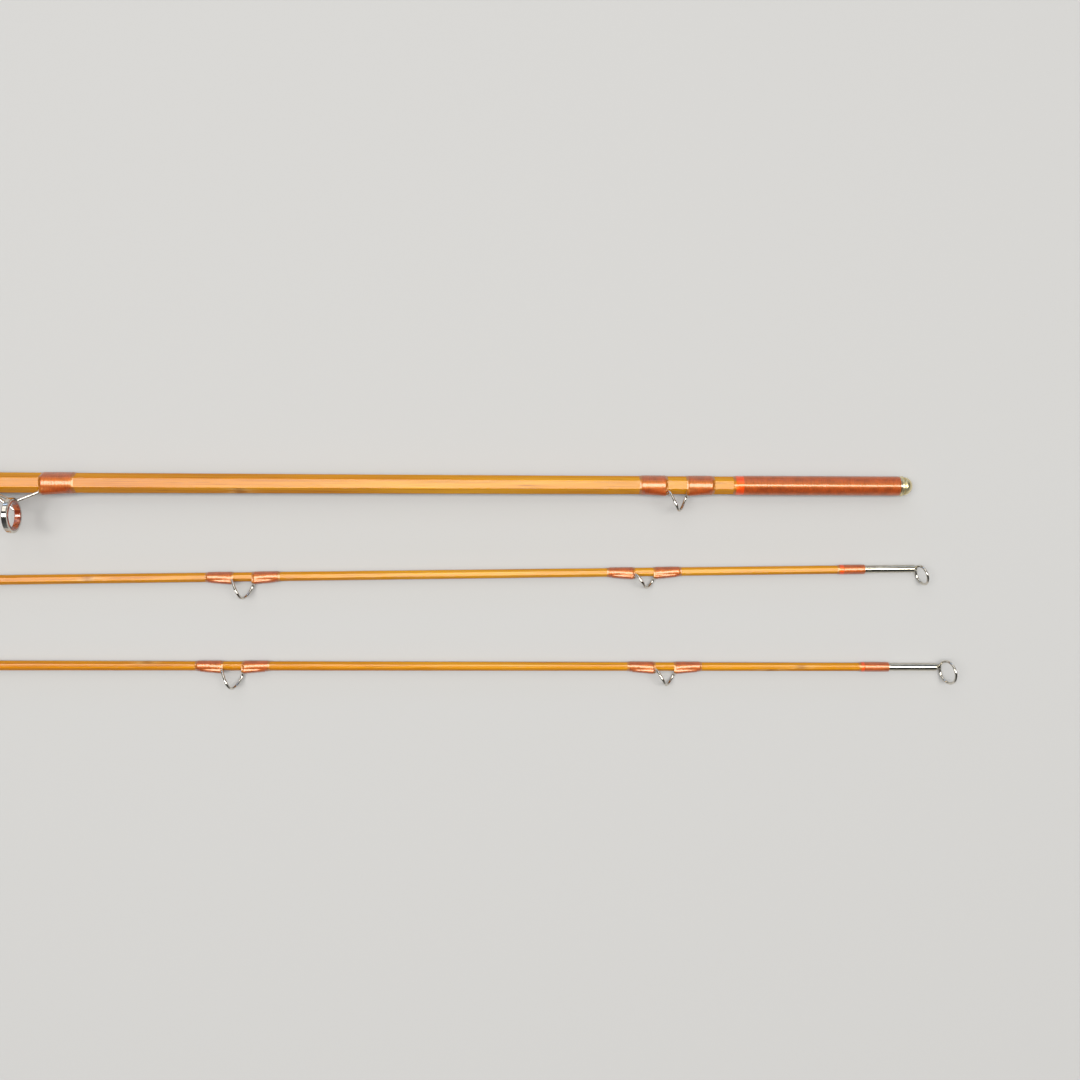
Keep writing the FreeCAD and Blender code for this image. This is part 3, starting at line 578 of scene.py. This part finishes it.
def thread_finish(name, light, dark, sheen):
    """Silk wound side by side under varnish, mottled at random between its lit colour and its
    colour in shadow (painted light and shade), with painted shade in the grooves between turns;
    past the thread's ends the cane shows through.
    """
    f = Finish(name, Roughness=0.36, IOR=1.75, Specular_IOR_Level=1.0, Specular_Tint=sheen,
               Coat_Weight=0.8, Coat_Roughness=0.07, Coat_IOR=1.5)
    soft = f.noise((420, 420, 420), detail=2)
    twist = f.noise((7000, 900, 900), detail=2, roughness=0.6)
    mixed = f.math("ADD", f.times(soft, 0.35), f.times(twist, 0.65))
    # painted light and shade: noise mottles the thread between its lit colour and its colour in
    # shadow
    tone = f.mix(f.ramp(mixed, (0.38, BLACK), (0.6, WHITE)), dark, light)
    # painted shade: the grooves between the thread's turns are darkened towards its colour in
    # shadow
    groove_shade_ramp = f.ramp(f.value("crest"), (0.0, BLACK), (0.75, WHITE))
    tone = f.mix(f.math("SUBTRACT", 0.6, f.times(groove_shade_ramp, 0.6)), tone, dark, "MULTIPLY")
    fibre = f.ramp(f.noise(FIBRE, detail=3, roughness=0.65), (0.35, BLACK), (0.6, WHITE))
    wood = f.mix(fibre, srgb(118, 60, 4), srgb(146, 84, 6))
    f.colour(f.mix(f.value("thread"), wood, tone))
    return f.material


def metal_finish(name, clean, tarnished, rough, lathe, wear):
    """Polished metal: faint tarnish, hairline scratches, and lathe marks where it was turned."""
    f = Finish(name, Metallic=1.0)
    cloud = f.noise((900, 900, 900), detail=4, roughness=0.62)
    tarnish = f.ramp(cloud, (0.35, WHITE), (0.7, BLACK))
    f.colour(f.mix(f.times(tarnish, wear), clean, tarnished))
    hair = f.noise((2200, 260, 260), detail=2)
    f.rough(f.math("MULTIPLY_ADD", f.math("ADD", hair, cloud), rough, rough * 0.35))
    if lathe:
        f.bump(f.noise((14000, 60, 60), detail=2), 0.01 * MM, lathe)
    else:
        f.bump(cloud, 0.01 * MM, 0.12)
    return f.material


def walnut_finish():
    """Oiled walnut: long wavy figure, dark pores, a soft sheen."""
    f = Finish("walnut", Roughness=0.36, Coat_Weight=0.3, Coat_Roughness=0.18)
    figure = f.noise((14, 210, 210), detail=4, distortion=0.9)
    pores = f.noise((150, 4200, 4200), detail=2)
    tone = f.ramp(figure, (0.32, srgb(58, 31, 16)), (0.5, srgb(98, 56, 30)),
                  (0.66, srgb(140, 88, 52)))
    pore = f.ramp(pores, (0.3, WHITE), (0.42, BLACK))
    f.colour(f.mix(f.times(pore, 0.7), tone, srgb(30, 15, 8)))
    f.bump(pores, 0.03 * MM, 0.4)
    return f.material


def cork_finish():
    """Sanded cork: rings of slightly different tone, dark pits, fine crumb, thin glue joints."""
    f = Finish("cork", Roughness=0.82, Specular_IOR_Level=0.25)
    crumb = f.noise((1500, 1500, 1500), detail=4, roughness=0.65)
    patch = f.noise((120, 260, 260), detail=3)
    tone = f.ramp(patch, (0.3, srgb(158, 120, 78)), (0.5, srgb(177, 141, 98)),
                  (0.72, srgb(192, 160, 118)))
    tone = f.mix(f.times(f.value("ring"), 0.4), tone, srgb(160, 125, 84))
    speck = f.ramp(crumb, (0.36, WHITE), (0.44, BLACK))
    tone = f.mix(f.times(speck, 0.45), tone, srgb(122, 80, 46))
    pit = f.math("MINIMUM", f.times(f.value("pit"), 1.1), 0.85)
    tone = f.mix(pit, tone, srgb(84, 50, 28))
    f.colour(f.mix(f.times(f.value("seam"), 0.45), tone, srgb(110, 72, 42)))
    f.bump(crumb, 0.06 * MM, 0.6)
    return f.material


def agate_finish():
    """Polished banded agate for the stripping guide's ring."""
    f = Finish("agate", Roughness=0.12, Specular_IOR_Level=0.6,
               Coat_Weight=1.0, Coat_Roughness=0.03)
    bands = f.noise((220, 420, 420), detail=3, distortion=1.6)
    f.colour(f.ramp(bands, (0.3, srgb(70, 22, 12)), (0.48, srgb(128, 48, 22)),
                    (0.56, srgb(176, 92, 50)), (0.7, srgb(88, 30, 16))))
    return f.material


CANE = cane_finish()
CORK = cork_finish()
THREADS = {name: thread_finish(name, *look) for name, look in THREAD_LOOKS.items()}
FINISHES = {name: metal_finish(name, *look) for name, look in METAL_LOOKS.items()}
FINISHES["seat_wood"] = walnut_finish()
FINISHES["guide_insert"] = agate_finish()


# ---- pieces -----------------------------------------------------------------------------------
def finish_cad_nodes():
    """Gives every CAD node that stays its detailed material."""
    for entry in frame["record"]["subparts"]:
        finish = FINISHES.get(entry["material_slot"])
        if finish:
            node = frame["nodes"][entry["node"]]
            node.data.materials.clear()
            node.data.materials.append(finish)


def thread(name, section, slot, node, wraps):
    """Wraps as one piece that stands for a CAD node."""
    put(skin(name, wraps), section, THREADS[slot], node)


def plain_wrap(name, section, slot, node, leads):
    """One wrap over bare cane, as long as its CAD node."""
    start, end = section.span(node)
    thread(name, section, slot, node, [wrap(section, start, end, leads=leads)])


def ferrule_wraps():
    """The trim wrap and the long wrap, which climb from the cane onto the female ferrule."""
    ferrule_start = BUTT.span("female_ferrule")[0]
    barrel = radius_of(BUTT, "female_ferrule")
    trim_start, trim_end = BUTT.span("ferrule_trim_wrap")
    long_end = BUTT.span("female_ferrule_wrap")[1]

    def climb(x):
        share = np.clip((x - trim_start) / (ferrule_start - trim_start), 0, 1)
        return barrel * (TRIM_SEAT + (1 - TRIM_SEAT) * share)

    trim = wrap(BUTT, trim_start, trim_end, round_part=climb, leads=(FULL, BARE))
    thread("ferrule_trim_thread", BUTT, "orange_thread", "ferrule_trim_wrap", [trim])
    long = wrap(BUTT, trim_end, long_end, round_part=climb, around=LONG_WRAP_POINTS,
                leads=(BARE, SHORT))
    thread("female_ferrule_thread", BUTT, "copper_thread", "female_ferrule_wrap", [long])


def butt_pieces():
    check_end = BUTT.span("winding_check")[1]
    ferrule_start = BUTT.span("female_ferrule")[0]
    cane("butt_cane", BUTT, check_end - BUTT_LAP, ferrule_start, "butt_cane_strips")
    cork_grip()
    ferrule_wraps()
    plain_wrap("check_thread", BUTT, "copper_thread", "check_thread_wrap", (BARE, FULL))
    for name, guide, foot in (("hook_keeper", "hook_keeper", KEEPER_FOOT),
                              ("stripping_guide", "stripping_guide_frame", STRIPPER_FOOT),
                              ("butt_snake_guide", "butt_snake_guide", SNAKE_FOOT)):
        thread(f"{name}_thread", BUTT, "copper_thread", f"{name}_wraps",
               guide_wraps(BUTT, guide, foot))


def tip_pieces(name, section):
    ferrule_end = section.span(f"{name}_male_ferrule")[1]
    tube_start = section.span(f"{name}_tip_top_tube")[0]
    cane(f"{name}_cane", section, ferrule_end - TIP_LAP, tube_start, f"{name}_cane_strips")
    for place, slot, leads in (("ferrule", "copper_thread", (BARE, BARE)),
                               ("ferrule_trim", "orange_thread", (BARE, FULL)),
                               ("tip_top", "copper_thread", (BARE, BARE)),
                               ("tip_top_trim", "orange_thread", (FULL, BARE))):
        plain_wrap(f"{name}_{place}_thread", section, slot, f"{name}_{place}_wrap", leads)
    wraps = []
    for number in range(1, SNAKE_GUIDES + 1):
        wraps += guide_wraps(section, f"{name}_snake_guide_{number}", SNAKE_FOOT)
    thread(f"{name}_guide_thread", section, "copper_thread", f"{name}_snake_guide_wraps", wraps)


butt_pieces()
for tip, its_section in TIPS.items():
    tip_pieces(tip, its_section)
finish_cad_nodes()


# ---- floor, light, camera ---------------------------------------------------------------------
FLOOR_SIZE = 40
FLOOR_GAP = 0.05 * MM  # keeps the floor just under the rod
FLOOR_COLOUR = (0.38, 0.377, 0.37, 1)
SKY_ANGLE = math.radians(80)
ROOM_COLOUR = (0.92, 0.96, 1.0, 1)
ROOM_LEVEL = 0.22  # the room's light from level, and from overhead
ROOM_OVERHEAD = 0.03
OVERHEAD_FROM = 0.9  # upward share of a direction that counts as overhead
# The camera, from the front end of tip 2's tip-top wrap
CAMERA_BACK = 0.1122
CAMERA_ASIDE = 0.0409
CAMERA_HEIGHT = 0.362
CAMERA_LENS = 37.3
CAMERA_SENSOR = 36


def floor():
    """Plain pale tabletop."""
    place = (0, 0, CAD_BOX[0].z - FLOOR_GAP)
    bpy.ops.mesh.primitive_plane_add(size=FLOOR_SIZE, location=place)
    table = bpy.context.active_object
    table.name = "floor"
    surface = Finish("floor", Base_Color=FLOOR_COLOUR, Roughness=0.85, Specular_IOR_Level=0.2)
    table.data.materials.append(surface.material)


def lamp(name, kind, energy):
    data = bpy.data.lights.new(name, kind)
    data.energy = energy
    made = bpy.data.objects.new(name, data)
    bpy.context.scene.collection.objects.link(made)
    return made


def softbox(name, power, size, place, aim, colour):
    """A rectangular area light at place, facing aim."""
    made = lamp(name, "AREA", power)
    made.data.shape = "RECTANGLE"
    made.data.size, made.data.size_y = size
    made.data.color = colour
    made.location = place
    made.rotation_euler = (Vector(aim) - Vector(place)).to_track_quat("-Z", "Y").to_euler()


def room():
    """A grey room that is darker overhead."""
    world = bpy.data.worlds.new("studio")
    world.use_nodes = True
    tree = world.node_tree
    direction = tree.nodes.new("ShaderNodeTexCoord")
    height = tree.nodes.new("ShaderNodeSeparateXYZ")
    tree.links.new(direction.outputs["Generated"], height.inputs[0])
    shade = tree.nodes.new("ShaderNodeMapRange")
    shade.inputs["From Min"].default_value = 0.0
    shade.inputs["From Max"].default_value = OVERHEAD_FROM
    shade.inputs["To Min"].default_value = ROOM_LEVEL
    shade.inputs["To Max"].default_value = ROOM_OVERHEAD
    tree.links.new(height.outputs["Z"], shade.inputs["Value"])
    background = tree.nodes["Background"]
    tree.links.new(shade.outputs["Result"], background.inputs["Strength"])
    background.inputs["Color"].default_value = ROOM_COLOUR
    bpy.context.scene.world = world


def lights():
    """A softbox straight above, even light from the whole sky that leaves no glints, a broad
    softbox behind, and a cool strip low down."""
    middle = (CAD_BOX[0] + CAD_BOX[1]) / 2
    softbox("overhead", 35, size=(2.2, 0.45), place=(0.35, 0.03, 1.5), aim=(0.35, 0.03, 0),
            colour=(1.0, 0.985, 0.96))
    sky = lamp("sky", "SUN", 1.15)
    sky.data.angle = SKY_ANGLE
    sky.visible_glossy = False
    softbox("behind", 11, size=(2.0, 1.2), place=(0.1, 1.3, 1.4), aim=middle,
            colour=(1.0, 0.98, 0.95))
    softbox("strip", 4, size=(2.4, 0.25), place=(0.0, 1.6, 0.45), aim=middle,
            colour=(0.5, 0.68, 1.0))


def camera():
    """Looks straight down at the tip-top end of the three sections."""
    data = bpy.data.cameras.new("camera")
    data.lens = CAMERA_LENS
    data.sensor_width = CAMERA_SENSOR
    eye = bpy.data.objects.new("camera", data)
    near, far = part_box("tip_2_tip_top_wrap")
    eye.location = (far.x - CAMERA_BACK, (near.y + far.y) / 2 + CAMERA_ASIDE, CAMERA_HEIGHT)
    bpy.context.scene.collection.objects.link(eye)
    bpy.context.scene.camera = eye


floor()
room()
lights()
camera()
bpy.context.scene.view_settings.view_transform = "Standard"
